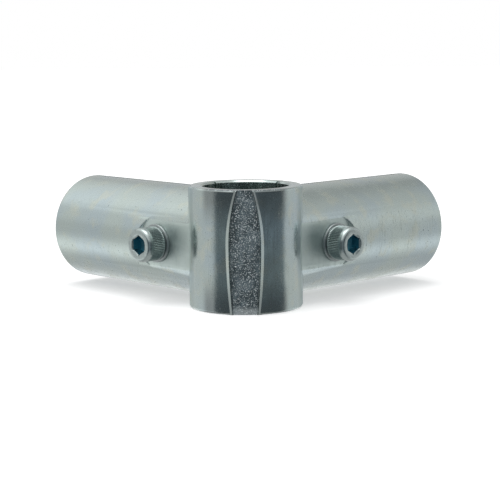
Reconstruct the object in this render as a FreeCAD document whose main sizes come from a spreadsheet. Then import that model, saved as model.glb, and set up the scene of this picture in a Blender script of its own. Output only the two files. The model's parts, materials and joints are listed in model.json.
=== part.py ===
import FreeCAD, Part
import os

# Cross fitting for round tube: two cast shells held together by two cap screws.
# Origin: where the three bore axes meet.  +Z is the through bore's axis.
# The two socket arms point towards (+1, +1, 0) and (-1, +1, 0).
# The front shell is on the outside of the corner, towards -Y.

V = FreeCAD.Vector
ROT = FreeCAD.Rotation

doc = FreeCAD.newDocument("cross_fitting")

# ---------------------------------------------------------------- dimensions
SIZES = [
    ("tube_od", 40.0, "outside diameter of the tubes the fitting takes"),
    ("bore_clearance", 0.1, "radial room between a tube and its bore"),
    ("collar_wall", 6.1, "wall of the collar round the through bore"),
    ("collar_height", 56.0, "height of the collar along the through bore"),
    ("collar_round", 1.2, "outside rounding of the collar's rims"),
    ("arm_wall", 5.3, "wall of the socket arms"),
    ("arm_reach", 112.0, "arm end from the through bore's axis"),
    ("arm_round", 2.0, "outside rounding of the arm ends"),
    ("mouth_chamfer", 0.8, "chamfer at every bore mouth"),
    ("stop_wall", 1.6, "wall between a nut slot and the tube stop face"),
    ("parting_gap", 1.0, "gap between the two shells when clamped on tubes"),
    ("screw_pos", 35.8, "screw axis from the through bore's axis"),
    ("screw_d", 10.0, "screw thread's outside diameter"),
    ("screw_length", 50.0, "screw length under the head"),
    ("screw_tip", 1.0, "chamfer at the screw's end"),
    ("head_d", 16.0, "screw head diameter"),
    ("head_height", 10.0, "screw head height"),
    ("head_chamfer", 0.9, "chamfer round the head's front face"),
    ("hex_key", 8.0, "hexagon socket across flats"),
    ("hex_depth", 5.2, "hexagon socket depth"),
    ("washer_od", 18.0, "washer outside diameter"),
    ("washer_hole", 10.5, "washer hole diameter"),
    ("washer_thick", 1.6, "washer thickness"),
    ("hole_room", 0.5, "radial room round the screw in the shells"),
    ("seat_room", 0.04, "axial room under the screw head and behind the nut"),
    ("pocket_depth", 2.5, "pocket floor below the arm's outside"),
    ("pocket_lip", 8.0, "radius of the soft lips beside the pocket floor"),
    ("pocket_bite", 0.094, "how far the lips' middles stand beyond where they only touch the arm"),
    ("pocket_side", 4.6, "half width of the pocket's end wall beyond the flat floor"),
    ("pocket_end", 11.2, "pocket's end wall from the screw axis"),
    ("pocket_draft", 0.4, "slope of the pocket's end wall, sideways per height"),
    ("pocket_edge", 0.5, "rounding of the end wall's outer edge"),
    ("inner_round", 5.0, "rounding in the corner between the arms"),
    ("nut_flats", 16.0, "nut across flats"),
    ("nut_height", 8.4, "nut height"),
    ("nut_chamfer", 0.7, "height of the chamfer at the nut's corners"),
    ("nut_cover", 3.0, "nut's outer face below the arm's outside"),
    ("nut_room", 0.15, "room on each side of the nut in its slot"),
    ("nut_travel", 1.0, "how far the nut shifts along its slot"),
    ("thread_room", 0.04, "radial room between the screw and the nut"),
    ("panel_depth", 1.0, "depth of the recessed panel on the collar"),
    ("panel_slope", 0.45, "slope of the panel's side walls, sideways per depth"),
    ("panel_half", 7.3, "half width of the panel at its widest"),
    ("panel_top", 3.4, "half width of the panel at the top rim"),
    ("panel_foot", 5.7, "half width of the panel at the bottom rim"),
    ("panel_level", 3.0, "height of the panel's widest place above the middle"),
    ("rim_height", 0.9, "height of the raised rim round the panel"),
    ("rim_slope", 0.95, "slope of the rim's outer flank, sideways per depth"),
    ("rim_half", 7.2, "half width over the rim at its widest"),
    ("rim_top", 4.1, "half width over the rim at the top rim"),
    ("rim_foot", 5.9, "half width over the rim at the bottom rim"),
    ("cut_over", 2.0, "how far a cutting body runs past the metal"),
]

dims = doc.addObject("Spreadsheet::Sheet", "Dims")
for row, (alias, value, note) in enumerate(SIZES, start=1):
    dims.set("A%d" % row, alias.replace("_", " "))
    dims.set("B%d" % row, repr(value))
    dims.set("C%d" % row, note)
    dims.setAlias("B%d" % row, alias)
doc.recompute()


# ------------------------------------------------------------------- helpers
def bind(obj, **links):
    """Tie properties to spreadsheet expressions; __ stands for a dot."""
    for prop, text in links.items():
        obj.setExpression(prop.replace("__", "."), text)
    return obj


def shape(kind, name, turn=None, **links):
    """Add one primitive, turn it, and bind its sizes and its place."""
    obj = doc.addObject("Part::" + kind, name)
    if turn is not None:
        obj.Placement = FreeCAD.Placement(V(0, 0, 0), turn)
    return bind(obj, **links)


def fuse(name, parts):
    """Join several document objects into one."""
    obj = doc.addObject("Part::MultiFuse", name)
    obj.Shapes = parts
    return obj


def cut(name, base, tool):
    """Take the tool away from the base."""
    obj = doc.addObject("Part::Cut", name)
    obj.Base = base
    obj.Tool = tool
    return obj


def common(name, base, tool):
    """Keep what the base and the tool share."""
    obj = doc.addObject("Part::Common", name)
    obj.Base = base
    obj.Tool = tool
    return obj


def mirror(name, source):
    """The same object on the left-hand side."""
    obj = doc.addObject("Part::Mirroring", name)
    obj.Source = source
    obj.Normal = V(1, 0, 0)
    return obj


def finish(obj, label):
    """Name a finished sub-part."""
    obj.Label = label
    FINISHED.append(obj)
    return obj


FINISHED = []

# Directions of the right-hand arm: outward along it, and out of its front.
ALONG = ROT(V(1, -1, 0), V(0, 0, 1), V(1, 1, 0), "ZXY")
OUTWARD = ROT(V(1, 1, 0), V(0, 0, -1), V(1, -1, 0), "ZXY")
CORNER = ROT(V(0, 0, 1), 45)

COS = "0.70710678"
BORE = "(Dims.tube_od / 2 + Dims.bore_clearance)"
COLLAR_R = "(Dims.tube_od / 2 + Dims.bore_clearance + Dims.collar_wall)"
ARM_R = "(Dims.tube_od / 2 + Dims.bore_clearance + Dims.arm_wall)"
FAR = "(Dims.arm_reach + Dims.tube_od)"
HOLE = "(Dims.screw_d / 2 + Dims.hole_room)"
SLOT_Z = "(Dims.nut_flats / 2 + Dims.nut_room)"
SLOT_X = "(Dims.nut_flats / 1.7320508 + Dims.nut_room)"
STOP = "(Dims.screw_pos + %s + Dims.stop_wall)" % SLOT_X
FLOOR = "(%s - Dims.pocket_depth)" % ARM_R
LIP_AXIS = "(%s - Dims.pocket_lip)" % FLOOR
LIP_REACH = "(%s - Dims.pocket_lip)" % ARM_R
FLAT = "(sqrt(%s ^ 2 - %s ^ 2) + Dims.pocket_bite)" % (LIP_REACH, LIP_AXIS)
BEYOND = "(Dims.screw_pos + Dims.pocket_end + Dims.pocket_depth * Dims.pocket_draft + Dims.cut_over)"
END_R = "(%s + Dims.pocket_side)" % FLAT
END_X = "(Dims.screw_pos + Dims.pocket_end - %s)" % END_R
NUT_SEAT = "(%s - Dims.nut_cover - Dims.nut_height)" % ARM_R


def at(along, outward):
    """Place an object in the right-hand arm's own directions."""
    return {
        "Placement__Base__x": "(%s + %s) * %s" % (along, outward, COS),
        "Placement__Base__y": "(%s - (%s)) * %s" % (along, outward, COS),
    }


# ------------------------------------------------------- outside of the shells
collar_rod = shape("Cylinder", "CollarRod", Radius=COLLAR_R, Height="Dims.collar_height",
                   Placement__Base__z="-Dims.collar_height / 2")
arm_rod = shape("Cylinder", "ArmRod", ALONG, Radius=ARM_R, Height="Dims.arm_reach")
doc.recompute()


def rounded(name, base, size, keep):
    """Round the circular edges that the test keeps."""
    obj = doc.addObject("Part::Fillet", name)
    obj.Base = base
    picked = []
    for number, edge in enumerate(base.Shape.Edges, start=1):
        if edge.Closed and len(edge.Vertexes) == 1 and keep(edge.CenterOfMass):
            picked.append((number, size, size))
    obj.Edges = picked
    return obj


collar = rounded("Collar", collar_rod, dims.get("collar_round"), lambda c: True)
arm = rounded("Arm", arm_rod, dims.get("arm_round"), lambda c: c.Length > 10)

# The pocket for a screw head: a flat floor with soft lips and a round end wall.
pocket_block = shape("Box", "PocketBlock", CORNER, Length=BEYOND, Width=ARM_R,
                     Height="2 * %s * %s / %s" % (FLAT, ARM_R, LIP_REACH),
                     Placement__Base__z="-%s * %s / %s" % (FLAT, ARM_R, LIP_REACH),
                     **at("0", "%s - Dims.cut_over + %s" % (FLOOR, ARM_R)))
pocket_under = shape("Box", "PocketUnder", CORNER, Length=BEYOND + " + 2 * Dims.cut_over",
                     Width="Dims.pocket_lip", Height="2 * " + FLAT, Placement__Base__z="-" + FLAT,
                     **at("-Dims.cut_over", FLOOR))
lip_up = shape("Cylinder", "PocketLipUpper", ALONG, Radius="Dims.pocket_lip",
               Height=BEYOND + " + 2 * Dims.cut_over", Placement__Base__z=FLAT,
               **at("-Dims.cut_over", LIP_AXIS))
lip_down = shape("Cylinder", "PocketLipLower", ALONG, Radius="Dims.pocket_lip",
                 Height=BEYOND + " + 2 * Dims.cut_over", Placement__Base__z="-" + FLAT,
                 **at("-Dims.cut_over", LIP_AXIS))
pocket_shape = cut("PocketShape", pocket_block, fuse("PocketRest", [pocket_under, lip_up, lip_down]))
end_round = shape("Cone", "PocketEndRound", OUTWARD, Height=ARM_R,
                  Radius1="%s - 2 * Dims.cut_over * Dims.pocket_draft" % END_R,
                  Radius2="%s + (%s - 2 * Dims.cut_over) * Dims.pocket_draft" % (END_R, ARM_R),
                  **at(END_X, FLOOR + " - 2 * Dims.cut_over"))
end_box = shape("Box", "PocketEndBox", CORNER, Height="2 * " + END_R, Width=ARM_R, Length=END_X,
                Placement__Base__z="-" + END_R,
                **at("0", "%s - 2 * Dims.cut_over + %s" % (FLOOR, ARM_R)))
pocket = common("Pocket", pocket_shape, fuse("PocketOutline", [end_round, end_box]))
arm_sharp = cut("ArmSharp", arm, pocket)
doc.recompute()

# Soften the outer edge of the pocket's end wall: the two curved edges next to the crown.
right_arm = doc.addObject("Part::Fillet", "RightArm")
right_arm.Base = arm_sharp
wall_edges = []
for number, edge in enumerate(arm_sharp.Shape.Edges, start=1):
    middle = edge.valueAt((edge.FirstParameter + edge.LastParameter) / 2)
    outward = (middle.x - middle.y) / 2 ** 0.5
    along = (middle.x + middle.y) / 2 ** 0.5
    beyond = dims.get("screw_pos") < along < dims.get("screw_pos") + 2 * dims.get("pocket_end")
    on_crown = outward > 0 and abs((outward ** 2 + middle.z ** 2) ** 0.5 - arm_rod.Radius.Value) < 0.001
    if beyond and on_crown and abs(middle.z) > 1:
        wall_edges.append((number, dims.get("pocket_edge"), dims.get("pocket_edge")))
if len(wall_edges) != 2:
    raise RuntimeError("expected two edges at the pocket's end, found %d" % len(wall_edges))
right_arm.Edges = wall_edges
left_arm = mirror("LeftArm", right_arm)
outside_plain = fuse("OutsidePlain", [collar, right_arm, left_arm])
doc.recompute()

# Round the corner between the arms: the one edge that crosses X = 0 behind the collar.
outside = doc.addObject("Part::Fillet", "Outside")
outside.Base = outside_plain
corner_edges = []
for number, edge in enumerate(outside_plain.Shape.Edges, start=1):
    middle = edge.CenterOfMass
    if abs(middle.x) < 0.01 and middle.y > collar_rod.Radius.Value and edge.Length > 5:
        corner_edges.append((number, dims.get("inner_round"), dims.get("inner_round")))
if len(corner_edges) != 1:
    raise RuntimeError("expected one edge between the arms, found %d" % len(corner_edges))
outside.Edges = corner_edges

# ------------------------------------------------------------- bores and mouths
through_bore = shape("Cylinder", "ThroughBore", Radius=BORE,
                     Height="Dims.collar_height + 2 * Dims.cut_over",
                     Placement__Base__z="-Dims.collar_height / 2 - Dims.cut_over")
top_mouth = shape("Cone", "TopMouth", Radius1=BORE, Radius2=BORE + " + 2 * Dims.mouth_chamfer",
                  Height="2 * Dims.mouth_chamfer",
                  Placement__Base__z="Dims.collar_height / 2 - Dims.mouth_chamfer")
foot_mouth = shape("Cone", "FootMouth", Radius2=BORE, Radius1=BORE + " + 2 * Dims.mouth_chamfer",
                   Height="2 * Dims.mouth_chamfer",
                   Placement__Base__z="-Dims.collar_height / 2 - Dims.mouth_chamfer")
socket_bore = shape("Cylinder", "SocketBore", ALONG, Radius=BORE,
                    Height="Dims.arm_reach + Dims.cut_over - " + STOP, **at(STOP, "0"))
socket_mouth = shape("Cone", "SocketMouth", ALONG, Radius1=BORE,
                     Radius2=BORE + " + 2 * Dims.mouth_chamfer", Height="2 * Dims.mouth_chamfer",
                     **at("Dims.arm_reach - Dims.mouth_chamfer", "0"))

# ------------------------------------------- screw holes and slots for the nuts
front_hole = shape("Cylinder", "FrontHole", OUTWARD, Radius=HOLE, Height=FLOOR + " + Dims.cut_over",
                   **at("Dims.screw_pos", "0"))
rear_hole = shape("Cylinder", "RearHole", OUTWARD, Radius=HOLE, Height=NUT_SEAT + " + Dims.cut_over",
                  **at("Dims.screw_pos", "-%s - Dims.cut_over" % NUT_SEAT))
shifted_hole = shape("Cylinder", "ShiftedHole", OUTWARD, Radius=HOLE,
                     Height=NUT_SEAT + " + Dims.cut_over",
                     **at("Dims.screw_pos - Dims.nut_travel", "-%s - Dims.cut_over" % NUT_SEAT))
between_holes = shape("Box", "BetweenHoles", CORNER, Length="Dims.nut_travel",
                      Width=NUT_SEAT + " + Dims.cut_over", Height="2 * " + HOLE,
                      Placement__Base__z="-" + HOLE,
                      **at("Dims.screw_pos - Dims.nut_travel", "0"))
nut_slot = shape("Box", "NutSlot", CORNER, Length="2 * %s + Dims.nut_travel" % SLOT_X, Width=ARM_R,
                 Height="2 * " + SLOT_Z, Placement__Base__z="-" + SLOT_Z,
                 **at("Dims.screw_pos - Dims.nut_travel - " + SLOT_X, "-" + NUT_SEAT))
right_tools = fuse("RightTools", [socket_bore, socket_mouth, front_hole, rear_hole, shifted_hole,
                                  between_holes, nut_slot])
left_tools = mirror("LeftTools", right_tools)

# ------------------------- recessed panel on the collar's front, and its raised rim
AWAY = ROT(V(1, 0, 0), 90)
UPPER = "(Dims.collar_height / 2 - Dims.panel_level)"
LOWER = "(Dims.collar_height / 2 + Dims.panel_level)"


def half_outline(name, what, end, tall, slope, low):
    """Half of an outline: where two wide arcs overlap, between two heights."""
    bow = "(Dims.%s_half - Dims.%s_%s)" % (what, what, end)
    radius = "((%s ^ 2 + %s ^ 2) / (2 * %s))" % (tall, bow, bow)
    sides = []
    for side, sign in (("Left", ""), ("Right", "-")):
        sides.append(shape("Cone", name + side, AWAY, Height="2 * " + COLLAR_R,
                           Radius1="%s - %s * %s" % (radius, slope, COLLAR_R),
                           Radius2="%s + %s * %s" % (radius, slope, COLLAR_R),
                           Placement__Base__x="%s(%s - Dims.%s_half)" % (sign, radius, what),
                           Placement__Base__z="Dims.panel_level"))
    band = shape("Box", name + "Band", Length="4 * Dims.%s_half" % what, Height=tall + " + Dims.cut_over",
                 Width=COLLAR_R + " + Dims.cut_over", Placement__Base__x="-2 * Dims.%s_half" % what,
                 Placement__Base__y="-%s - Dims.cut_over" % COLLAR_R, Placement__Base__z=low)
    return common(name, common(name + "Arcs", sides[0], sides[1]), band)


def outline(name, what, slope):
    """Both halves of an outline; they meet at its widest place."""
    up = half_outline(name + "Upper", what, "top", UPPER, slope, "Dims.panel_level")
    down = half_outline(name + "Lower", what, "foot", LOWER, slope,
                        "-Dims.collar_height / 2 - Dims.cut_over")
    return fuse(name + "Outline", [up, down])


panel_back = shape("Cylinder", "PanelBack", Radius=COLLAR_R + " - Dims.panel_depth",
                   Height="Dims.collar_height + 4 * Dims.cut_over",
                   Placement__Base__z="-Dims.collar_height / 2 - 2 * Dims.cut_over")
panel = cut("Panel", outline("Panel", "panel", "Dims.panel_slope"), panel_back)
rim_rod = shape("Cylinder", "RimRod", Radius=COLLAR_R + " + Dims.rim_height", Height="Dims.collar_height",
                Placement__Base__z="-Dims.collar_height / 2")
doc.recompute()
rim_round = rounded("RimRound", rim_rod, dims.get("collar_round"), lambda c: True)
rim = common("Rim", outline("Rim", "rim", "(-1 * Dims.rim_slope)"), rim_round)
outside_rimmed = fuse("OutsideRimmed", [outside, rim])

# ------------------------------------------------------------------ two shells
tools = fuse("Tools", [through_bore, top_mouth, foot_mouth, right_tools, left_tools, panel])
casting = cut("Casting", outside_rimmed, tools)
FRONT_EDGE = "-Dims.parting_gap * " + COS
REAR_EDGE = "Dims.parting_gap * " + COS
inner_corner = shape("Box", "InnerCorner", CORNER, Length=FAR, Width=FAR, Height=FAR,
                     Placement__Base__y=REAR_EDGE, Placement__Base__z="-%s / 2" % FAR)
outer_corner = shape("Box", "OuterCorner", CORNER, Length=FAR, Width=FAR, Height=FAR,
                     Placement__Base__y=FRONT_EDGE, Placement__Base__z="-%s / 2" % FAR)
front_shell = finish(cut("FrontShell", casting, outer_corner), "front_shell")
rear_shell = finish(common("RearShell", casting, inner_corner), "rear_shell")


# ------------------------------------------------------ screws, washers and nuts
def place(obj, side, outward):
    """Stand a finished piece on one side's screw axis."""
    sign = "" if side == "right" else "-"
    obj.Placement = FreeCAD.Placement(V(0, 0, 0), OUTWARD if side == "right" else OUTWARD_LEFT)
    links = at("Dims.screw_pos", outward)
    links["Placement__Base__x"] = "%s(%s)" % (sign, links["Placement__Base__x"])
    return bind(obj, **links)


OUTWARD_LEFT = ROT(V(1, -1, 0), V(0, 0, 1), V(-1, -1, 0), "ZXY")
HEAD_SEAT = FLOOR + " + Dims.washer_thick + Dims.seat_room"

for side in ("right", "left"):
    tag = side.capitalize()
    shank = shape("Cylinder", tag + "Shank", Radius="Dims.screw_d / 2",
                  Height="Dims.screw_length - Dims.screw_tip",
                  Placement__Base__z="-Dims.screw_length + Dims.screw_tip")
    tip = shape("Cone", tag + "Tip", Radius1="Dims.screw_d / 2 - Dims.screw_tip",
                Radius2="Dims.screw_d / 2", Height="Dims.screw_tip",
                Placement__Base__z="-Dims.screw_length")
    head = shape("Cylinder", tag + "Head", Radius="Dims.head_d / 2",
                 Height="Dims.head_height - Dims.head_chamfer")
    crown = shape("Cone", tag + "HeadCrown", Radius1="Dims.head_d / 2",
                  Radius2="Dims.head_d / 2 - Dims.head_chamfer", Height="Dims.head_chamfer",
                  Placement__Base__z="Dims.head_height - Dims.head_chamfer")
    key_hole = shape("Prism", tag + "KeyHole", ROT(V(0, 0, 1), 30),
                     Circumradius="Dims.hex_key / 1.7320508", Height="Dims.hex_depth + Dims.cut_over",
                     Placement__Base__z="Dims.head_height - Dims.hex_depth")
    key_hole.Polygon = 6
    screw = cut(tag + "Screw", fuse(tag + "ScrewSolid", [shank, tip, head, crown]), key_hole)
    finish(place(screw, side, HEAD_SEAT), side + "_cap_screw")

    ring = shape("Cylinder", tag + "Ring", Radius="Dims.washer_od / 2", Height="Dims.washer_thick")
    ring_hole = shape("Cylinder", tag + "RingHole", Radius="Dims.washer_hole / 2",
                      Height="Dims.washer_thick + 2 * Dims.cut_over",
                      Placement__Base__z="-Dims.cut_over")
    washer = cut(tag + "Washer", ring, ring_hole)
    finish(place(washer, side, FLOOR), side + "_screw_washer")

    nut_block = shape("Prism", tag + "NutBlock", Height="Dims.nut_height",
                      Circumradius="Dims.nut_flats / 1.7320508")
    nut_block.Polygon = 6
    nut_low = shape("Cone", tag + "NutLow", Radius1="Dims.nut_flats * 0.57735 - 2 * Dims.nut_chamfer",
                    Radius2="Dims.nut_flats * 0.57735 - 2 * Dims.nut_chamfer + 2 * Dims.nut_height",
                    Height="Dims.nut_height")
    nut_high = shape("Cone", tag + "NutHigh", Radius2="Dims.nut_flats * 0.57735 - 2 * Dims.nut_chamfer",
                     Radius1="Dims.nut_flats * 0.57735 - 2 * Dims.nut_chamfer + 2 * Dims.nut_height",
                     Height="Dims.nut_height")
    nut_body = common(tag + "NutBody", common(tag + "NutHalf", nut_block, nut_low), nut_high)
    nut_hole = shape("Cylinder", tag + "NutHole", Radius="Dims.screw_d / 2 + Dims.thread_room",
                     Height="Dims.nut_height + 2 * Dims.cut_over", Placement__Base__z="-Dims.cut_over")
    nut = cut(tag + "Nut", nut_body, nut_hole)
    finish(place(nut, side, "-%s - Dims.nut_height - Dims.seat_room" % NUT_SEAT), side + "_nut")

doc.recompute()

# ---------------------------------------------------------------- check and write
for obj in doc.Objects:
    if "Invalid" in obj.State or "Error" in obj.State:
        raise RuntimeError("%s is in state %s" % (obj.Label, obj.State))
for obj in FINISHED:
    if obj.Shape.isNull() or not obj.Shape.isValid():
        raise RuntimeError("%s has no sound shape" % obj.Label)
    if len(obj.Shape.Solids) != 1:
        raise RuntimeError("%s has %d solids" % (obj.Label, len(obj.Shape.Solids)))

os.makedirs("parts", exist_ok=True)
for obj in FINISHED:
    obj.Shape.exportStep("parts/%s.step" % obj.Label)
    box = obj.Shape.BoundBox
    print("%s: %.1f mm3, X %.2f..%.2f, Y %.2f..%.2f, Z %.2f..%.2f" % (
        obj.Label, obj.Shape.Volume, box.XMin, box.XMax, box.YMin, box.YMax, box.ZMin, box.ZMax))
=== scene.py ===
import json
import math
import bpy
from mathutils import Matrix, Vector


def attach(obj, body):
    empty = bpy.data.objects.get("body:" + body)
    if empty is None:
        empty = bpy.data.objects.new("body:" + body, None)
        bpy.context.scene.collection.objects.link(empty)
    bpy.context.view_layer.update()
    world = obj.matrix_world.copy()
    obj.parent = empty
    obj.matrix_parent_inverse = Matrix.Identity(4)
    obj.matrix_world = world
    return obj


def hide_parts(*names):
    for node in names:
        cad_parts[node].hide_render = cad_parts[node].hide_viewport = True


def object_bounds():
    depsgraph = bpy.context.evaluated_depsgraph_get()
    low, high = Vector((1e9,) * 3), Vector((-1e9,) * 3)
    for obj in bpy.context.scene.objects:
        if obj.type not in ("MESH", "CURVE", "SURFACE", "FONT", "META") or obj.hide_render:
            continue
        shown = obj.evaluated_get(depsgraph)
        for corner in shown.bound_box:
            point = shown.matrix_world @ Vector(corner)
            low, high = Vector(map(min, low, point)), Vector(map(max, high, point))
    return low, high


bl_info = {
    "name": "Cross fitting",
    "version": (1, 0, 0),
    "blender": (4, 5, 0),
    "location": "3D View > Sidebar > Cross fitting",
    "description": "Castings, cap screws, washers and nuts of a split cross fitting for round tube",
    "category": "Object",
}

import bmesh
import bpy
from mathutils import Matrix, Vector, noise
from mathutils.geometry import delaunay_2d_cdt

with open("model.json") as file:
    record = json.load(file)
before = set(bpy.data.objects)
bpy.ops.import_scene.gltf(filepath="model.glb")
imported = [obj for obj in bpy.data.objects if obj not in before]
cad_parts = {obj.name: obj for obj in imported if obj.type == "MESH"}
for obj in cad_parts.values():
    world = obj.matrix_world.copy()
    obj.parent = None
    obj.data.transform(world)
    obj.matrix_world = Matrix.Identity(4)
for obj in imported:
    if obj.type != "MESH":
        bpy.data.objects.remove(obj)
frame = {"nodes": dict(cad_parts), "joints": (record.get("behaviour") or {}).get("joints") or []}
CAD_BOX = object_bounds()

MM = 0.001
SIDES = ("left", "right")
WHITE = (1.0, 1.0, 1.0, 1.0)

# Turned profiles, from one corner: millimetres inward and down.
SHANK_FILLET = ((0.0, 0.5), (-0.12, 0.12), (-0.45, 0.0))
HEAD_SEAT = ((0.5, 0.0), (0.18, -0.1), (0.0, -0.42))
HEAD_CROWN = ((0.0, 2.5), (0.03, 1.9), (0.12, 1.3), (0.32, 0.75), (0.65, 0.32), (1.05, 0.08), (1.5, 0.0))
WASHER_FOOT = ((0.3, 0.0), (0.08, -0.07), (0.0, -0.25))
WASHER_TOP = ((0.0, 0.5), (0.07, 0.22), (0.25, 0.06), (0.5, 0.0), (1.6, 0.0))
WASHER_BORE = ((-0.3, 0.0), (-0.08, 0.08), (0.0, 0.25))
# Millimetres: radius and depth of the hexagon socket's drilled floor, and the steps down a nut's chamfer.
KEY_FLOOR = ((3.6, 0.0), (1.8, 0.7), (0.4, 1.3))
NUT_CHAMFER = (0.0, 0.12, 0.25, 0.4, 0.55, 0.7, 0.9)
# Degrees: edges sharper than this stay crisp.
CRISP = {"casting": 22, "rim": 13, "screw": 38, "washer": 40, "nut": 28}


# --------------------------------------------------------------- node writing
class Reading:
    """One output of a node tree, which takes part in ordinary arithmetic."""

    def __init__(self, bench, socket):
        self.bench = bench
        self.socket = socket

    def __add__(self, other):
        return self.bench.math("ADD", self, other)

    def __sub__(self, other):
        return self.bench.math("SUBTRACT", self, other)

    def __mul__(self, other):
        return self.bench.math("MULTIPLY", self, other)

    def __truediv__(self, other):
        return self.bench.math("DIVIDE", self, other)

    def __radd__(self, other):
        return self.bench.math("ADD", other, self)

    def __rsub__(self, other):
        return self.bench.math("SUBTRACT", other, self)

    def __rmul__(self, other):
        return self.bench.math("MULTIPLY", other, self)

    def __rtruediv__(self, other):
        return self.bench.math("DIVIDE", other, self)

    def __pow__(self, other):
        return self.bench.math("POWER", self, other)

    def __abs__(self):
        return self.bench.math("ABSOLUTE", self)

    def over(self, low, high):
        """0 up to low, 1 from high on, and a smooth step between."""
        return self.bench.node("ShaderNodeMapRange", {"interpolation_type": "SMOOTHSTEP"},
                               {"Value": self, "From Min": low, "From Max": high})

    def under(self, low, high):
        """1 up to low, 0 from high on, and a smooth step between."""
        return 1.0 - self.over(low, high)


class Bench:
    """Writes nodes into one tree."""

    def __init__(self, tree):
        self.tree = tree

    def plug(self, socket, value):
        if isinstance(value, Reading):
            self.tree.links.new(value.socket, socket)
        else:
            socket.default_value = value

    def raw(self, kind, settings=None, values=None):
        """Add a node: its settings first, then the values or links of its sockets."""
        made = self.tree.nodes.new(kind)
        for name, value in (settings or {}).items():
            setattr(made, name, value)
        for name, value in (values or {}).items():
            found = [s for s in made.inputs if s.identifier == name] or [made.inputs[name]]
            self.plug(found[0], value)
        return made

    def node(self, kind, settings=None, values=None, output=0):
        """Add a node and hand back one of its outputs."""
        made = self.raw(kind, settings, values)
        if isinstance(output, str):
            found = [s for s in made.outputs if s.identifier == output] or [made.outputs[output]]
            return Reading(self, found[0])
        return Reading(self, made.outputs[output])

    def math(self, operation, *values):
        made = self.tree.nodes.new("ShaderNodeMath")
        made.operation = operation
        for socket, value in zip(made.inputs, values):
            self.plug(socket, value)
        return Reading(self, made.outputs[0])

    def blend(self, factor, first, second):
        """Mix two colours."""
        return self.node("ShaderNodeMix", {"data_type": "RGBA"},
                         {"Factor_Float": factor, "A_Color": first, "B_Color": second}, "Result_Color")

    def split(self, vector):
        """The three numbers of a vector."""
        made = self.raw("ShaderNodeSeparateXYZ", None, {"Vector": vector})
        return [Reading(self, made.outputs[i]) for i in range(3)]


def colour(hue):
    """A colour property as the four numbers that a socket takes."""
    return (hue[0], hue[1], hue[2], 1.0)


def sizes():
    return bpy.context.scene.cross_fitting


# ------------------------------------------------------------------ materials
def new_material(name):
    made = bpy.data.materials.new(name)
    made.use_nodes = True
    made.node_tree.nodes.clear()
    return made, Bench(made.node_tree)


def surface(bench, **values):
    """Close a material with its one metal shader."""
    shader = bench.node("ShaderNodeBsdfPrincipled", None, values)
    bench.raw("ShaderNodeOutputMaterial", None, {"Surface": shader})


def grain(bench, place, size, detail=2.0, rough=0.5):
    """Noise whose spots are about size metres across."""
    return bench.node("ShaderNodeTexNoise", None,
                      {"Vector": place, "Scale": 1.0 / size, "Detail": detail, "Roughness": rough}, "Fac")


def object_place(bench):
    return bench.node("ShaderNodeTexCoord", None, None, "Object")


def soft_edges(bench, radius):
    """Surface direction with slightly rounded edges."""
    return bench.node("ShaderNodeBevel", {"samples": 4}, {"Radius": radius})


def bumped(bench, height, distance, strength, base):
    """Raise a relief over a surface direction."""
    values = {"Height": height, "Distance": distance, "Strength": strength, "Normal": base}
    return bench.node("ShaderNodeBump", None, values)


def panel_mask(s, y, radius):
    """1 on the rough panel's floor, at the front of the collar."""
    sunk = radius.under(s.collar_radius - 0.65 * MM, s.collar_radius - 0.3 * MM)
    shallow = radius.over(s.collar_radius - 2.2 * MM, s.collar_radius - 1.9 * MM)
    return sunk * y.under(-20 * MM, -19 * MM) * shallow


def before_pocket_end(s, along):
    """1 from the collar to the far end of the screw heads' pockets."""
    return along.under(s.pocket_end - MM, s.pocket_end + MM)


def pocket_mask(s, across, along):
    """1 on the flat floors of the screw heads' pockets."""
    on_floor = abs(across - s.washer_foot).under(0.15 * MM, 0.3 * MM)
    return on_floor * along.over(2 * MM, 4 * MM) * before_pocket_end(s, along)


def collar_ends_painted_shade(x, y, z):
    """1 at the top and the bottom of the collar's front, where the metal is painted darker as painted shade.
    """
    return abs(z).over(9 * MM, 25 * MM) * abs(x).under(17 * MM, 20 * MM) * y.under(-15 * MM, -12 * MM)


def corner_mask(s, x, radius):
    """1 on the collar's flanks beside the arms, which keep their duller cast skin."""
    outside = radius.over(s.collar_radius - 0.5 * MM, s.collar_radius - 0.2 * MM)
    inside = radius.under(s.collar_radius + 0.2 * MM, s.collar_radius + 0.5 * MM)
    return outside * inside * abs(x).over(22.5 * MM, 25 * MM)


def blunt_mask(bench, s, z, radius, across, along):
    """How blunt the edges are: most where the arms meet the collar, less at the pockets' lips."""
    arm_round = (across * across + z * z) ** 0.5
    joint = abs(radius - s.collar_radius).under(1.0 * MM, 2.0 * MM)
    joint = joint * abs(arm_round - s.arm_radius).under(1.0 * MM, 2.0 * MM) * along.over(2 * MM, 4 * MM)
    lips = across.over(s.washer_foot - 1.0 * MM, s.washer_foot - 0.5 * MM) * before_pocket_end(s, along)
    return bench.math("MAXIMUM", joint, lips * along.over(20 * MM, 22 * MM) * 0.6)


def rough_panel_tint(bench, s, place, z, patch):
    """Dark iron with worn patches, painted highlights on its grains and a painted highlight at its foot."""
    tint = bench.blend(patch.over(0.42, 0.6), colour(s.panel_dark_and_pit_shade), colour(s.panel_light))
    # Painted highlights: bright specks on the panel's grains.
    tint = bench.blend(grain(bench, place, 0.5 * MM, 1.0).over(0.58, 0.65), tint, colour(s.panel_painted_highlight))
    # Painted highlight: the panel's foot is paler where it turns up to the light.
    return bench.blend(z.under(-27 * MM, -23.5 * MM) * 0.5, tint, colour(s.panel_painted_highlight))


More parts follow.
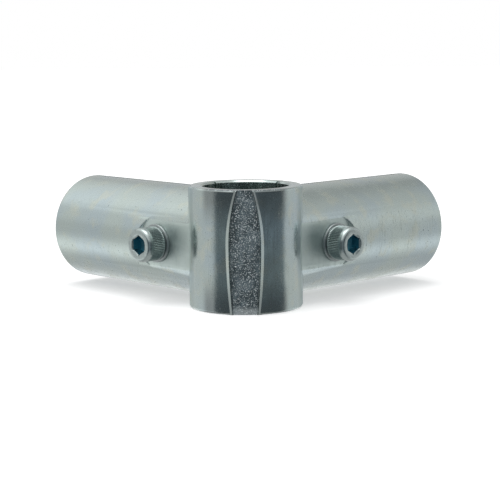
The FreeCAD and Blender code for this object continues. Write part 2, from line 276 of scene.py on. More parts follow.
def casting_material(name):
    """Zinc-plated casting: grey-green metal with a faint rainbow, soft cast waves and fine pits."""
    s = sizes()
    made, b = new_material(name)
    place = object_place(b)
    x, y, z = b.split(place)
    radius = (x * x + y * y) ** 0.5
    across, along = (abs(x) - y) * math.sqrt(0.5), (abs(x) + y) * math.sqrt(0.5)
    panel, pocket = panel_mask(s, y, radius), pocket_mask(s, across, along)

    wide = grain(b, place, 26 * MM, 2.0)
    patch = grain(b, place, 7 * MM, 3.0)
    fine = grain(b, place, 0.9 * MM, 3.0, 0.6)
    pits = grain(b, place, 0.32 * MM, 2.0)
    specks = grain(b, place, 0.8 * MM, 2.0, 0.6).over(0.6, 0.7)
    pinholes = grain(b, place, 1.3 * MM, 1.0).over(0.76, 0.79)
    drawn = b.node("ShaderNodeCombineXYZ", None, {"X": x, "Y": y, "Z": z * 0.08})
    streaks = grain(b, drawn, 1.1 * MM, 2.0, 0.6)

    tint = b.blend(wide.over(0.38, 0.62), colour(s.zinc_green), colour(s.zinc_blue))
    tint = b.blend(patch.over(0.5, 0.72) * 0.6, tint, colour(s.zinc_straw))
    tint = b.blend(fine.over(0.55, 0.75) * 0.16, tint, colour(s.zinc_dull))
    # Painted shade: dark dots in the pinholes.
    tint = b.blend(pinholes * 0.7, tint, colour(s.panel_dark_and_pit_shade))
    # Painted light: the pocket floors beside the screw heads are lightened.
    tint = b.blend(pocket * 0.7, tint, colour(s.pocket_painted_light))
    # Painted shade: the top and the bottom of the collar's front are darkened.
    tint = b.blend(collar_ends_painted_shade(x, y, z) * 0.8, tint, colour(s.steel_dull_and_shade))
    tint = b.blend(panel, tint, rough_panel_tint(b, s, place, z, patch))

    polish = s.zinc_roughness + 0.1 * patch.over(0.3, 0.7) + 0.05 * fine + 0.2 * specks
    polish = polish + 0.1 * streaks.over(0.5, 0.7)
    polish = polish + panel * 0.2 + pocket * 0.26 + corner_mask(s, x, radius) * 0.3

    edges = b.node("ShaderNodeMix", {"data_type": "VECTOR"}, {
        "Factor_Float": blunt_mask(b, s, z, radius, across, along),
        "A_Vector": soft_edges(b, 0.15 * MM), "B_Vector": soft_edges(b, 1.6 * MM)}, "Result_Vector")
    relief = bumped(b, wide * 0.6 + patch * 0.3, 0.25 * MM, 0.5, edges)
    relief = bumped(b, fine * 0.5 + streaks * 0.3 + pits * 0.2 - pinholes, 0.04 * MM, 0.6, relief)
    relief = bumped(b, fine * panel, 0.35 * MM, 0.9, relief)
    surface(b, **{"Base Color": tint, "Metallic": 1.0 - panel * 0.25, "Roughness": polish, "Normal": relief})
    return made


def head_masks(bench, s, place):
    """1 inside the hexagon socket, and 1 in the grooves between the head's ribs: where painted shade goes."""
    x, y, z = bench.split(place)
    along = (abs(x) + y) * math.sqrt(0.5) - s.screw_along
    below = s.head_face - (abs(x) - y) * math.sqrt(0.5)
    reach = (along * along + z * z) ** 0.5
    key = s.key_flats / math.sqrt(3)
    socket = reach.under(key - 0.12 * MM, key + 0.13 * MM)
    socket = socket * below.over(0.3 * MM, 0.9 * MM) * below.under(8.5 * MM, 9 * MM)
    ribs = reach.under(s.head_radius - s.rib_depth, s.head_radius - 0.05 * MM)
    ribs = ribs * reach.over(s.head_radius - 0.8 * MM, s.head_radius - 0.6 * MM)
    first, last = s.head_height - s.rib_high, s.head_height - s.rib_low
    return socket, ribs * below.over(first - 0.1 * MM, first + 0.2 * MM) * below.under(last - 0.3 * MM, last)


def steel_material(name, hue, roughness, with_head=False):
    """Plated steel of the screws, washers and nuts: dull spots, fine dust and painted shade in the hexagon
    socket and the head's grooves.
    """
    s = sizes()
    made, b = new_material(name)
    place = object_place(b)
    spots = grain(b, place, 1.6 * MM, 3.0, 0.6)
    dust = grain(b, place, 0.25 * MM, 2.0)
    tint = b.blend(spots.over(0.5, 0.75) * 0.5, colour(hue), colour(s.steel_dull_and_shade))
    polish = roughness + 0.12 * spots + 0.06 * dust
    if with_head:
        socket, ribs = head_masks(b, s, place)
        # Painted shade inside the hexagon socket, tinted teal.
        tint = b.blend(socket, tint, colour(s.socket_painted_shade))
        # Painted shade in the grooves between the head's ribs.
        tint = b.blend(ribs * 0.8, tint, colour(s.steel_dull_and_shade))
        polish = polish + socket * 0.12
    relief = bumped(b, spots * 0.6 + dust * 0.4, 0.02 * MM, 0.5, soft_edges(b, 0.12 * MM))
    surface(b, **{"Base Color": tint, "Metallic": 1.0, "Roughness": polish, "Normal": relief})
    return made


# ------------------------------------------------------------ geometry nodes
def geometry_tree(name, inputs):
    """A geometry tree with one mesh in, named numbers in, and one mesh out."""
    tree = bpy.data.node_groups.new(name, "GeometryNodeTree")
    tree.interface.new_socket("Geometry", in_out="INPUT", socket_type="NodeSocketGeometry")
    for label, kind in inputs:
        tree.interface.new_socket(label, in_out="INPUT", socket_type="NodeSocket" + kind)
    tree.interface.new_socket("Geometry", in_out="OUTPUT", socket_type="NodeSocketGeometry")
    bench = Bench(tree)
    entry = tree.nodes.new("NodeGroupInput")
    given = {s.name: Reading(bench, s) for s in entry.outputs if s.name}
    return tree, bench, given


def close_tree(tree, bench, geometry, material):
    """Realize instances, set the material and end the tree."""
    solid = bench.node("GeometryNodeRealizeInstances", None, {"Geometry": geometry})
    dressed = bench.node("GeometryNodeSetMaterial", None, {"Geometry": solid, "Material": material})
    leave = tree.nodes.new("NodeGroupOutput")
    tree.links.new(dressed.socket, leave.inputs[0])
    return tree


def push_out(bench, geometry, amount, x, y, chosen):
    """Move points away from the Z axis by an amount."""
    away = bench.node("ShaderNodeCombineXYZ", None, {"X": x, "Y": y, "Z": 0.0})
    unit = bench.node("ShaderNodeVectorMath", {"operation": "NORMALIZE"}, {"Vector": away})
    shift = bench.node("ShaderNodeVectorMath", {"operation": "SCALE"}, {"Vector": unit, "Scale": amount})
    return bench.node("GeometryNodeSetPosition", None,
                      {"Geometry": geometry, "Selection": chosen, "Offset": shift})


def ridges(bench, turns):
    """A groove's depth from 0 to 1 and back, once a turn."""
    return 1.0 - abs(bench.math("FRACT", turns) * 2.0 - 1.0)


def between_heights(bench, z, given):
    """1 between the low and the high height, running out to 0 towards both."""
    above, below = z - given["Low"], given["High"] - z
    nearer = bench.math("MINIMUM", above / given["Run out"], below / given["Run out"])
    return bench.math("MINIMUM", bench.math("MAXIMUM", nearer, 0.0), 1.0)


def thread_tree():
    """Cuts a screw thread round the Z axis between two heights: outside a shank or inside a nut."""
    tree, b, given = geometry_tree("Screw thread", [
        ("Pitch", "Float"), ("Depth", "Float"), ("Low", "Float"), ("High", "Float"), ("Run out", "Float"),
        ("Inner radius", "Float"), ("Outer radius", "Float"), ("Material", "Material")])
    x, y, z = b.split(b.node("GeometryNodeInputPosition"))
    radius = (x * x + y * y) ** 0.5
    groove = ridges(b, z / given["Pitch"] - b.math("ARCTAN2", y, x) / math.tau + 8.0)
    near = b.math("MULTIPLY", b.math("GREATER_THAN", radius, given["Inner radius"]),
                  b.math("LESS_THAN", radius, given["Outer radius"]))
    amount = groove * between_heights(b, z, given) * given["Depth"]
    return close_tree(tree, b, push_out(b, given["Geometry"], amount, x, y, near), given["Material"])


def knurl_tree():
    """Presses straight ribs into a round head between two heights."""
    tree, b, given = geometry_tree("Straight knurl", [
        ("Ribs", "Float"), ("Depth", "Float"), ("Low", "Float"), ("High", "Float"), ("Run out", "Float"),
        ("Inner radius", "Float"), ("Material", "Material")])
    x, y, z = b.split(b.node("GeometryNodeInputPosition"))
    radius = (x * x + y * y) ** 0.5
    groove = ridges(b, b.math("ARCTAN2", y, x) / math.tau * given["Ribs"] + 400.0)
    near = b.math("GREATER_THAN", radius, given["Inner radius"])
    amount = groove * between_heights(b, z, given) * given["Depth"]
    return close_tree(tree, b, push_out(b, given["Geometry"], amount, x, y, near), given["Material"])


def worked(mesh, jobs):
    """Run geometry trees over a mesh, one after the other, and hand back the plain result."""
    for tree, values in jobs:
        blank = bpy.data.objects.new("blank", mesh)
        bpy.context.scene.collection.objects.link(blank)
        step = blank.modifiers.new("step", "NODES")
        step.node_group = tree
        for item in tree.interface.items_tree:
            if item.in_out == "INPUT" and item.name in values:
                step[item.identifier] = values[item.name]
        blank.update_tag()
        bpy.context.view_layer.update()
        seen = blank.evaluated_get(bpy.context.evaluated_depsgraph_get())
        mesh = bpy.data.meshes.new_from_object(seen)
        blank.modifiers.remove(step)
        bpy.data.objects.remove(blank)
    return mesh


# -------------------------------------------------------------------- meshes
def lathe(name, rows, around, closed=False):
    """A turned mesh. Each row is (radius or a rule of the angle, height), from the bottom middle outwards
    and up to the top middle; closed joins the last row to the first, as on a ring."""
    shape = bmesh.new()
    rings = []
    for radius, height in rows:
        ring = []
        for i in range(around):
            angle = math.tau * i / around
            r = radius(angle) if callable(radius) else radius
            ring.append(shape.verts.new((r * math.cos(angle), r * math.sin(angle), height)))
        rings.append(ring)
    pairs = list(zip(rings, rings[1:]))
    if closed:
        pairs.append((rings[-1], rings[0]))
    for low, high in pairs:
        for i in range(around):
            j = (i + 1) % around
            shape.faces.new((low[i], low[j], high[j], high[i]))
    if not closed:
        for ring, turn in ((rings[0], -1), (rings[-1], 1)):
            middle = shape.verts.new((0, 0, ring[0].co.z))
            for i in range(around):
                j = (i + 1) % around
                corner = (ring[i], ring[j], middle)
                shape.faces.new(corner if turn > 0 else corner[::-1])
    bmesh.ops.recalc_face_normals(shape, faces=shape.faces)
    mesh = bpy.data.meshes.new(name)
    shape.to_mesh(mesh)
    shape.free()
    return mesh


def hexagon(flats, start=0.0):
    """Radius of a hexagon at an angle; start turns its corners."""
    step = math.tau / 6

    def radius(angle):
        return flats / 2 / math.cos((angle - start) % step - step / 2)

    return radius


def smaller(first, second):
    """The smaller of two radii at each angle; either may be a rule of the angle."""
    def radius(angle):
        a = first(angle) if callable(first) else first
        b = second(angle) if callable(second) else second
        return min(a, b)

    return radius


def steps(low, high, count):
    """Evenly spaced numbers from low to high, both included."""
    return [low + (high - low) * i / count for i in range(count + 1)]


def profile(radius, height, table):
    """Rows of a turned mesh from a table of millimetres inward and down from one corner."""
    return [(radius - inward * MM, height - down * MM) for inward, down in table]


def screw_blank(s):
    """Socket head cap screw on the Z axis: seat at height 0, head up, with plain sides."""
    r, foot, tip = s.screw_radius, -s.screw_length, s.screw_tip
    threaded = s.thread_length + s.thread_pitch
    rows = [(0.6 * r, foot), (r - tip, foot), (r - tip * 0.4, foot + tip * 0.6)]
    rows += [(r, h) for h in steps(foot + tip, foot + tip + threaded, int(threaded / s.thread_pitch * 8))]
    rows += [(r, -12 * MM), (r, -6 * MM)] + profile(r, 0.0, SHANK_FILLET)

    head, tall = s.head_radius, s.head_height
    rows += profile(head, 0.0, HEAD_SEAT)
    rows += [(head, h) for h in steps(s.rib_low + 0.1 * MM, s.rib_high - 0.2 * MM, 12)]
    rows += profile(head, tall, HEAD_CROWN)

    key = hexagon(s.key_flats, math.tau / 12)
    mouth = s.key_flats / math.sqrt(3) + 0.12 * MM
    mouth_low, floor = tall - 0.04 * MM, tall - s.key_depth
    rows += [(mouth + 0.5 * MM, tall), (mouth + 0.04 * MM, mouth_low)]
    rows += [(smaller(key, mouth), mouth_low - depth) for depth in (0.45 * MM, 0.6 * MM)]
    rows += [(key, h) for h in (tall - 2.5 * MM, floor + 0.1 * MM)]
    rows += [(radius * MM, floor - depth * MM) for radius, depth in KEY_FLOOR]
    return lathe("screw blank", rows, s.head_ribs * 4)


def nut_blank(s):
    """Hexagon nut on the Z axis, standing on height 0, corners chamfered, hole plain."""
    hole, tall = s.screw_radius + 0.04 * MM, s.nut_height
    countersink = hole + 0.65 * MM
    face = s.nut_flats / math.sqrt(3) - 1.35 * MM
    flats = hexagon(s.nut_flats)
    chamfer = [(smaller(flats, face + drop * 1.9 * MM + 0.05 * MM), drop * MM + 0.03 * MM)
               for drop in NUT_CHAMFER]
    rows = [(countersink, 0.0), (face, 0.0)] + chamfer
    rows += [(flats, h) for h in steps(1.4 * MM, tall - 1.4 * MM, 4)]
    rows += [(radius, tall - height) for radius, height in reversed(chamfer)]
    rows += [(face, tall), (countersink, tall)]
    rows += [(hole, h) for h in reversed(steps(0.6 * MM, tall - 0.6 * MM, 40))]
    return lathe("nut blank", rows, 144, closed=True)


def washer_mesh(s):
    """Plain washer on the Z axis with stamped, slightly rolled edges."""
    out, hole, thick = s.washer_radius, s.washer_hole, s.washer_thick
    rows = [(hole + 0.25 * MM, 0.0)] + profile(out, 0.0, WASHER_FOOT) + profile(out, thick, WASHER_TOP)
    rows += profile(hole, thick, WASHER_BORE) + [(hole, 0.25 * MM)]
    return lathe("washer", rows, 120, closed=True)


def stand(mesh, side, out):
    """Move a finished mesh on to one screw axis, its Z pointing outwards, at a height along it."""
    joint = next(j for j in frame["joints"] if j["name"] == side + "_screw_turn")
    axis = Vector(joint["axis"]).normalized()
    across = Vector((axis.y, -axis.x, 0.0)) * (1.0 if side == "left" else -1.0)
    turn = Matrix((across, axis.cross(across), axis)).transposed().to_4x4()
    mesh.transform(Matrix.Translation(Vector(joint["pos_m"]) + axis * out) @ turn)
    mesh.update()


def soften(mesh, angle):
    """Smooth shading, with the edges sharper than an angle in degrees kept crisp."""
    mesh.shade_smooth()
    mesh.set_sharp_from_angle(angle=math.radians(angle))


def add_piece(name, mesh, material, body, node):
    """Put a finished mesh into the scene, dress it and tie it to its body."""
    mesh.name = name
    mesh.materials.clear()
    mesh.materials.append(material)
    for face in mesh.polygons:
        face.material_index = 0
    piece = bpy.data.objects.new(name, mesh)
    bpy.context.scene.collection.objects.link(piece)
    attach(piece, body)
    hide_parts(node)
    return piece


def dress(node, material):
    """Give a CAD node its finish."""
    piece = frame["nodes"][node]
    piece.data.materials.clear()
    piece.data.materials.append(material)


def panel_floor_faces(shape, radius):
    """Faces of the recessed panel's floor: on its own round, at the front, near the middle."""
    near = 0.03 * MM
    for face in shape.faces:
        corners = [v.co for v in face.verts]
        on_round = all(abs(math.hypot(c.x, c.y) - radius) < near for c in corners)
        if on_round and all(c.y < -0.5 * radius and abs(c.x) < 0.5 * radius for c in corners):
            yield face


def grain_height(s, across, up):
    """Height of the rough floor at one place: sand grains over slow hollows."""
    fine = noise.cell(Vector((across, up, 0.0)) / (0.5 * MM)) - 0.5
    slow = noise.noise(Vector((across, up, 9.0)) / (3.0 * MM))
    return s.grain_depth * (0.9 * fine + 0.4 * slow)


def rim_of(faces):
    """The vertices round a patch of faces, in a fixed order, and the edges between them."""
    times = {}
    for face in faces:
        for edge in face.edges:
            times[edge] = times.get(edge, 0) + 1
    edges = [edge for edge, count in times.items() if count == 1]
    verts = {v for edge in edges for v in edge.verts}
    return sorted(verts, key=lambda v: (round(v.co.z, 9), round(v.co.x, 9))), edges


def outline_rule(points):
    """Half the patch's width as a rule of the height, read from its right-hand rim."""
    right = [p for p in sorted(points, key=lambda p: p.y) if p.x > 0.3 * MM]

    def half_width(up):
        for a, b in zip(right, right[1:]):
            if a.y <= up <= b.y and b.y > a.y:
                return a.x + (b.x - a.x) * (up - a.y) / (b.y - a.y)
        return 0.0

    return half_width


def staggered_points(low, high, pitch, half_width):
    """Rows of points between two heights, every other row shifted by half a pitch."""
    made = []
    row, up = 0, low + pitch
    while up < high - 0.6 * pitch:
        wide = half_width(up) - 0.55 * pitch
        across = -math.floor(wide / pitch) * pitch + (0.5 * pitch if row % 2 else 0.0)
        while across < wide:
            made.append(Vector((across, up)))
            across += pitch
        up += pitch * 0.87
        row += 1
    return made


def rough_front_mesh(s):
    """The front casting with the panel's smooth floor cut out and a sand-rough floor grown in its place."""
    shape = bmesh.new()
    shape.from_mesh(frame["nodes"]["front_shell"].data)
    bmesh.ops.remove_doubles(shape, verts=shape.verts, dist=0.001 * MM)
    radius, pitch = s.collar_radius - s.panel_depth, s.grain_pitch
    old = list(panel_floor_faces(shape, radius))
    if not old:
        raise RuntimeError("the panel's floor was not found")
    rim, rim_edges = rim_of(old)
    place = {v: i for i, v in enumerate(rim)}
    points = [Vector((radius * math.atan2(v.co.x, -v.co.y), v.co.z)) for v in rim]
    borders = [(place[e.verts[0]], place[e.verts[1]]) for e in rim_edges]
    low, high = min(p.y for p in points), max(p.y for p in points)
    half_width = outline_rule(points)
    points += staggered_points(low, high, pitch, half_width)
    coords, _, triangles, origins, _, _ = delaunay_2d_cdt(points, borders, [], 1, 1e-9, True)
    bmesh.ops.delete(shape, geom=old, context="FACES_ONLY")

    fresh = []
    for spot, origin in zip(coords, origins):
        source = [k for k in origin if k < len(rim)]
        if source:
            fresh.append(rim[source[0]])
            continue
        angle = spot.x / radius
        inside = min(half_width(spot.y) - abs(spot.x), spot.y - low, high - spot.y)
        fade = max(0.0, min(1.0, inside / (1.2 * pitch)))
        r = radius + fade * grain_height(s, spot.x, spot.y)
        fresh.append(shape.verts.new((r * math.sin(angle), -r * math.cos(angle), spot.y)))
    for triangle in triangles:
        corners = [fresh[i] for i in triangle]
        if len(set(corners)) == 3:
            face = shape.faces.new(corners)
            face.normal_update()
            middle = face.calc_center_median()
            if face.normal.dot(Vector((middle.x, middle.y, 0.0))) < 0:
                face.normal_flip()
    loose = [v for v in shape.verts if not v.link_faces]
    bmesh.ops.delete(shape, geom=loose, context="VERTS")
    mesh = bpy.data.meshes.new("rough front")
    shape.to_mesh(mesh)
    shape.free()
    return mesh


def crease_panel(mesh, s):
    """Keep the low edges of the panel's raised rim crisp too."""
    shape = bmesh.new()
    shape.from_mesh(mesh)
    for edge in shape.edges:
        middle = (edge.verts[0].co + edge.verts[1].co) / 2
        at_rim = math.hypot(middle.x, middle.y) > s.collar_radius - 0.8 * s.panel_depth
        if at_rim and middle.y < -0.85 * s.collar_radius and len(edge.link_faces) == 2:
            if edge.calc_face_angle() > math.radians(CRISP["rim"]):
                edge.smooth = False
    shape.to_mesh(mesh)
    shape.free()


def weigh_normals(piece):
    """Let the large faces set the shading, so flats look flat up to their edges."""
    weigh = piece.modifiers.new("weigh", "WEIGHTED_NORMAL")
    weigh.keep_sharp = True
    weigh.weight = 50
    bpy.context.view_layer.update()
    seen = piece.evaluated_get(bpy.context.evaluated_depsgraph_get())
    mesh = bpy.data.meshes.new_from_object(seen)
    piece.modifiers.remove(weigh)
    piece.data = mesh


# ---------------------------------------------------------------- properties
def length(label, about, default):
    return bpy.props.FloatProperty(name=label, description=about, default=default, unit="LENGTH",
                                   precision=5, min=0.0)


def share(label, about, default):
    return bpy.props.FloatProperty(name=label, description=about, default=default, min=0.0, max=1.0)


def tone(label, about, default):
    return bpy.props.FloatVectorProperty(name=label, description=about, default=default, subtype="COLOR",
                                         size=3, min=0.0, max=1.0)


class CrossFittingSettings(bpy.types.PropertyGroup):
    """Sizes and colours of the fitting's pieces."""

    collar_radius: length("Collar radius", "Outside radius of the collar", 26.2 * MM)
    arm_radius: length("Arm radius", "Outside radius of the arms", 25.4 * MM)
    panel_depth: length("Panel depth", "Depth of the rough panel below the collar", 1.0 * MM)
    grain_depth: length("Grain depth", "Height of the sand grain in the panel", 0.22 * MM)
    grain_pitch: length("Grain pitch", "Distance between the panel's points", 0.27 * MM)
    screw_along: length("Screw place", "Screw axis from the through bore's axis", 35.8 * MM)
    head_face: length("Head face", "Face of the screw head from the arm's axis", 34.54 * MM)
    screw_radius: length("Screw radius", "Outside radius of the thread", 5.0 * MM)
    screw_length: length("Screw length", "Length under the head", 50 * MM)
    screw_tip: length("Screw tip", "Chamfer at the screw's end", 1.0 * MM)
    thread_pitch: length("Thread pitch", "Distance from thread to thread", 1.5 * MM)
    thread_depth: length("Thread depth", "Depth of the thread's groove", 0.85 * MM)
    thread_length: length("Thread length", "Length of the screw that is threaded", 30 * MM)
    head_radius: length("Head radius", "Outside radius of the screw head", 8.0 * MM)
    head_height: length("Head height", "Height of the screw head", 10 * MM)
    head_ribs: bpy.props.IntProperty(name="Head ribs", description="Ribs round the head", default=60, min=12)
    rib_low: length("Rib foot", "Where the ribs start above the seat", 0.5 * MM)
    rib_high: length("Rib top", "Where the ribs end above the seat", 7.3 * MM)
    rib_depth: length("Rib depth", "Depth between the ribs", 0.36 * MM)
    key_flats: length("Key size", "Hexagon socket across flats", 8.0 * MM)
    key_depth: length("Key depth", "Depth of the hexagon socket", 5.2 * MM)
    nut_flats: length("Nut size", "Nut across flats", 16.0 * MM)
    nut_height: length("Nut height", "Height of the nut", 8.4 * MM)
    nut_foot: length("Nut place", "Nut's outer face from the arm's axis", 22.44 * MM)
    washer_radius: length("Washer radius", "Outside radius of the washer", 9.0 * MM)
    washer_hole: length("Washer hole", "Radius of the washer's hole", 5.25 * MM)
    washer_thick: length("Washer thickness", "Thickness of the washer", 1.6 * MM)
    washer_foot: length("Washer place", "Underside of the washer from the arm's axis", 22.9 * MM)
    pocket_end: length("Pocket end", "Far end of the pockets from the through bore's axis", 49 * MM)
    zinc_green: tone("Zinc green", "Main tone of the plating", (0.52, 0.60, 0.575))
    zinc_blue: tone("Zinc blue", "Cool tone of the plating", (0.49, 0.58, 0.60))
    zinc_straw: tone("Zinc straw", "Warm tone of the plating", (0.60, 0.64, 0.56))
    zinc_dull: tone("Zinc dull", "Tone of dull spots", (0.40, 0.44, 0.43))
    # The next tone is painted light on the pocket floors.
    pocket_painted_light: tone("Zinc bright", "Painted light on the pocket floors", (0.68, 0.78, 0.74))
    zinc_roughness: share("Plating roughness", "How dull the plating is", 0.12)
    screw_roughness: share("Screw roughness", "How dull the screws are", 0.2)
    washer_roughness: share("Washer roughness", "How dull the washers are", 0.3)
    nut_roughness: share("Nut roughness", "How dull the nuts are", 0.26)
    # The next tone is the panel's dark patches, and painted shade in the pinholes.
    panel_dark_and_pit_shade: tone("Panel dark", "Hollows of the rough panel, and painted shade in the pinholes", (0.10, 0.13, 0.14))
    panel_light: tone("Panel light", "Worn patches of the rough panel", (0.2, 0.25, 0.27))
    # The next tone is painted highlights on the panel's grains and foot.
    panel_painted_highlight: tone("Panel salt", "Painted highlights on the rough panel's grains and foot", (0.95, 1.0, 1.0))
    steel: tone("Screw steel", "Tone of the cap screws", (0.47, 0.54, 0.53))
    washer_steel: tone("Washer steel", "Tone of the washers", (0.38, 0.42, 0.42))
    nut_steel: tone("Nut steel", "Tone of the nuts", (0.45, 0.49, 0.47))
    # The next tone serves the steel's dull spots, and painted shade in the knurl's grooves and at the
    # collar's ends.
    steel_dull_and_shade: tone("Steel dull", "Tone of dull spots on steel, and of painted shade", (0.24, 0.27, 0.27))
    socket_painted_shade: tone("Socket dark", "Painted shade inside the hexagon socket", (0.17, 0.42, 0.50))
    floor_glow: share("Floor glow", "Light that the floor gives back by itself", 0.42)
    floor_tone: tone("Floor", "Tone of the floor", (0.88, 0.88, 0.88))


# ----------------------------------------------------------------- operators
class FITTING_OT_castings(bpy.types.Operator):
    """Finish both castings"""

    bl_idname = "fitting.castings"
    bl_label = "Castings"

    def execute(self, context):
        s = sizes()
        mesh = rough_front_mesh(s)
        soften(mesh, CRISP["casting"])
        crease_panel(mesh, s)
        piece = add_piece("front_casting", mesh, casting_material("front zinc casting"), "front",
                          "front_shell")
        weigh_normals(piece)
        dress("rear_shell", casting_material("rear zinc casting"))
        return {"FINISHED"}


class FITTING_OT_cap_screws(bpy.types.Operator):
    """Turn, thread and knurl the two cap screws"""

    bl_idname = "fitting.cap_screws"
    bl_label = "Cap screws"

    def execute(self, context):
        s = sizes()
        finish = steel_material("plated screw steel", s.steel, s.screw_roughness, with_head=True)
        low = -s.screw_length
        thread_sizes = {
            "Pitch": s.thread_pitch, "Depth": -s.thread_depth, "Low": low,
            "High": low + s.thread_length + s.thread_pitch, "Run out": 1.2 * MM,
            "Inner radius": s.screw_radius * 0.75, "Outer radius": s.screw_radius * 1.01, "Material": finish}
        knurl_sizes = {
            "Ribs": float(s.head_ribs), "Depth": -s.rib_depth, "Low": s.rib_low, "High": s.rib_high,
            "Run out": 0.35 * MM, "Inner radius": s.head_radius * 0.98, "Material": finish}
        jobs = [(thread_tree(), thread_sizes), (knurl_tree(), knurl_sizes)]
        for side in SIDES:
            mesh = worked(screw_blank(s), jobs)
            soften(mesh, CRISP["screw"])
            stand(mesh, side, s.head_face - s.head_height)
            add_piece(side + "_cap_screw_turned", mesh, finish, side + "_screw", side + "_cap_screw")
        return {"FINISHED"}


class FITTING_OT_washers(bpy.types.Operator):
    """Stamp the washers under the screw heads"""

    bl_idname = "fitting.washers"
    bl_label = "Washers"

    def execute(self, context):
        s = sizes()
        finish = steel_material("plated washer steel", s.washer_steel, s.washer_roughness)
        for side in SIDES:
            mesh = washer_mesh(s)
            soften(mesh, CRISP["washer"])
            stand(mesh, side, s.washer_foot)
            add_piece(side + "_washer_stamped", mesh, finish, "front", side + "_screw_washer")
        return {"FINISHED"}


class FITTING_OT_nuts(bpy.types.Operator):
    """Forge and thread the two nuts"""

    bl_idname = "fitting.nuts"
    bl_label = "Nuts"

    def execute(self, context):
        s = sizes()
        finish = steel_material("plated nut steel", s.nut_steel, s.nut_roughness)
        thread_sizes = {
            "Pitch": s.thread_pitch, "Depth": s.thread_depth * 0.6, "Low": 0.3 * MM,
            "High": s.nut_height - 0.3 * MM, "Run out": 0.6 * MM, "Inner radius": s.screw_radius,
            "Outer radius": s.screw_radius + 0.1 * MM, "Material": finish}
        jobs = [(thread_tree(), thread_sizes)]
        for side in SIDES:
            mesh = worked(nut_blank(s), jobs)
            soften(mesh, CRISP["nut"])
            stand(mesh, side, -s.nut_foot)
            add_piece(side + "_nut_threaded", mesh, finish, side + "_nut", side + "_nut")
        return {"FINISHED"}


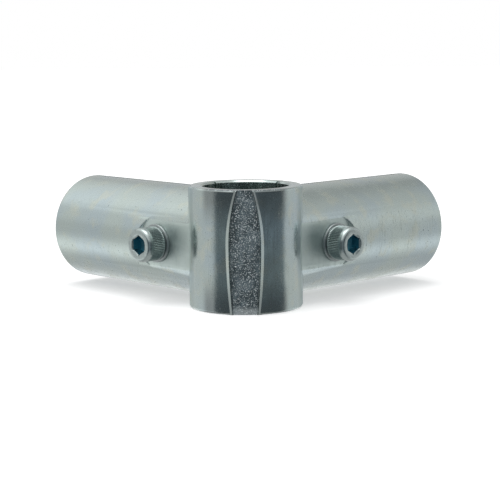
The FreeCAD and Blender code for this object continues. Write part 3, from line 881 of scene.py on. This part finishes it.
class FITTING_OT_stage(bpy.types.Operator):
    """Set the floor, the lights and the camera"""

    bl_idname = "fitting.stage"
    bl_label = "Stage"

    def execute(self, context):
        scene = context.scene
        low = CAD_BOX[0][2]
        floor_mesh = bpy.data.meshes.new("floor")
        reach = 4.0
        floor_mesh.from_pydata([(-reach, -reach, low), (reach, -reach, low), (reach, reach, low),
                                (-reach, reach, low)], [], [(0, 1, 2, 3)])
        floor = bpy.data.objects.new("floor", floor_mesh)
        scene.collection.objects.link(floor)
        pale, b = new_material("pale floor")
        sheen = b.node("ShaderNodeBsdfDiffuse", None, {"Color": colour(sizes().floor_tone)})
        lit = b.node("ShaderNodeEmission", None, {"Color": WHITE, "Strength": sizes().floor_glow})
        added = b.tree.nodes.new("ShaderNodeAddShader")
        b.plug(added.inputs[0], sheen)
        b.plug(added.inputs[1], lit)
        b.raw("ShaderNodeOutputMaterial", None, {"Surface": Reading(b, added.outputs[0])})
        floor_mesh.materials.append(pale)
        floor.visible_glossy = False
        self.light_room(scene)
        self.place_camera(scene)
        scene.view_settings.view_transform = "Standard"
        return {"FINISHED"}

    def light_room(self, scene):
        """A white room whose wall behind the viewer is dim, so round metal shows dark bands."""
        world = bpy.data.worlds.new("studio room")
        world.use_nodes = True
        world.node_tree.nodes.clear()
        b = Bench(world.node_tree)
        x, y, z = b.split(b.node("ShaderNodeTexCoord", None, None, "Generated"))
        facing = (0.167 * x - 0.986 * y) / (x * x + y * y) ** 0.5
        left, right, far = x.under(-0.5, 0.1), x.over(0.0, 0.4), y.over(0.35, 0.8)
        # The walls: lighter upwards, a pale sheet below the fitting and a shade straight under it.
        walls = 0.64 + 0.12 * z.over(0.05, 0.25) + 0.15 * z.over(0.72, 0.9)
        walls = walls + 0.3 * z.under(-0.45, -0.2) - 0.42 * z.under(-0.68, -0.44)
        # The left is brighter than the right, high up and along the pale sheet; the far wall is duller.
        walls = walls + 0.3 * left * z.over(0.4, 0.55) - 0.16 * right * z.over(0.35, 0.6)
        walls = walls + 0.16 * x.under(-0.5, 0.0) * z.under(-0.3, -0.1) * z.over(-0.58, -0.45)
        walls = walls - 0.2 * far * z.over(0.0, 0.3)
        # The dim wall behind the viewer, with a lighter strip at eye height and one straight ahead.
        dim = facing.over(0.24, 0.29) * z.under(0.3, 0.55) * z.over(-0.75, -0.5)
        dusk = 0.115 + 0.22 * z.over(-0.19, -0.15) * z.under(-0.13, -0.09) + 0.16 * facing.over(0.95, 0.985)
        glow = walls * (1.0 - dim) + dim * dusk
        seen = b.node("ShaderNodeLightPath", None, None, "Is Camera Ray")
        power = seen + (1.0 - seen) * glow
        cool = b.blend(dim * (1.0 - seen), WHITE, (0.78, 0.91, 1.0, 1.0))
        light = b.node("ShaderNodeBackground", None, {"Color": cool, "Strength": power})
        b.raw("ShaderNodeOutputWorld", None, {"Surface": light})
        scene.world = world

        lamp = bpy.data.lights.new("top softbox", "AREA")
        lamp.energy = 3.4
        lamp.size = 0.8
        softbox = bpy.data.objects.new("top softbox", lamp)
        softbox.location = (-0.1, 0.0, 1.1)
        softbox.rotation_euler = (-softbox.location).to_track_quat("-Z", "Y").to_euler()
        scene.collection.objects.link(softbox)

    def place_camera(self, scene):
        """Stand the camera in front of the corner, a little above it."""
        aside, above, lean = math.radians(0.987), math.radians(8.19), math.radians(-0.442)
        away, shift_right, shift_down = 0.7184, 1.889 * MM, 2.217 * MM
        level = math.cos(above)
        ahead = Vector((-math.sin(aside) * level, math.cos(aside) * level, -math.sin(above)))
        right = Vector((math.cos(aside), math.sin(aside), 0.0))
        up = right.cross(ahead)
        right, up = right * math.cos(lean) + up * math.sin(lean), up * math.cos(lean) - right * math.sin(lean)
        made = bpy.data.cameras.new("camera")
        made.lens = 112.4
        made.sensor_width = 36.0
        camera = bpy.data.objects.new("camera", made)
        spot = -ahead * away + right * shift_right - up * shift_down
        basis = Matrix((right, up, -ahead)).transposed().to_4x4()
        camera.matrix_world = Matrix.Translation(spot) @ basis
        scene.collection.objects.link(camera)
        scene.camera = camera


class FITTING_PT_panel(bpy.types.Panel):
    """The fitting's tools in the sidebar"""

    bl_idname = "FITTING_PT_panel"
    bl_label = "Cross fitting"
    bl_space_type = "VIEW_3D"
    bl_region_type = "UI"
    bl_category = "Cross fitting"

    def draw(self, context):
        for step in STEPS:
            self.layout.operator(step.bl_idname)


STEPS = (FITTING_OT_castings, FITTING_OT_cap_screws, FITTING_OT_washers, FITTING_OT_nuts, FITTING_OT_stage)
CLASSES = (CrossFittingSettings,) + STEPS + (FITTING_PT_panel,)


def register():
    for kind in CLASSES:
        bpy.utils.register_class(kind)
    bpy.types.Scene.cross_fitting = bpy.props.PointerProperty(type=CrossFittingSettings)


def unregister():
    del bpy.types.Scene.cross_fitting
    for kind in reversed(CLASSES):
        bpy.utils.unregister_class(kind)


def main():
    register()
    bpy.ops.fitting.castings()
    bpy.ops.fitting.cap_screws()
    bpy.ops.fitting.washers()
    bpy.ops.fitting.nuts()
    bpy.ops.fitting.stage()


if __name__ == "__main__":
    main()
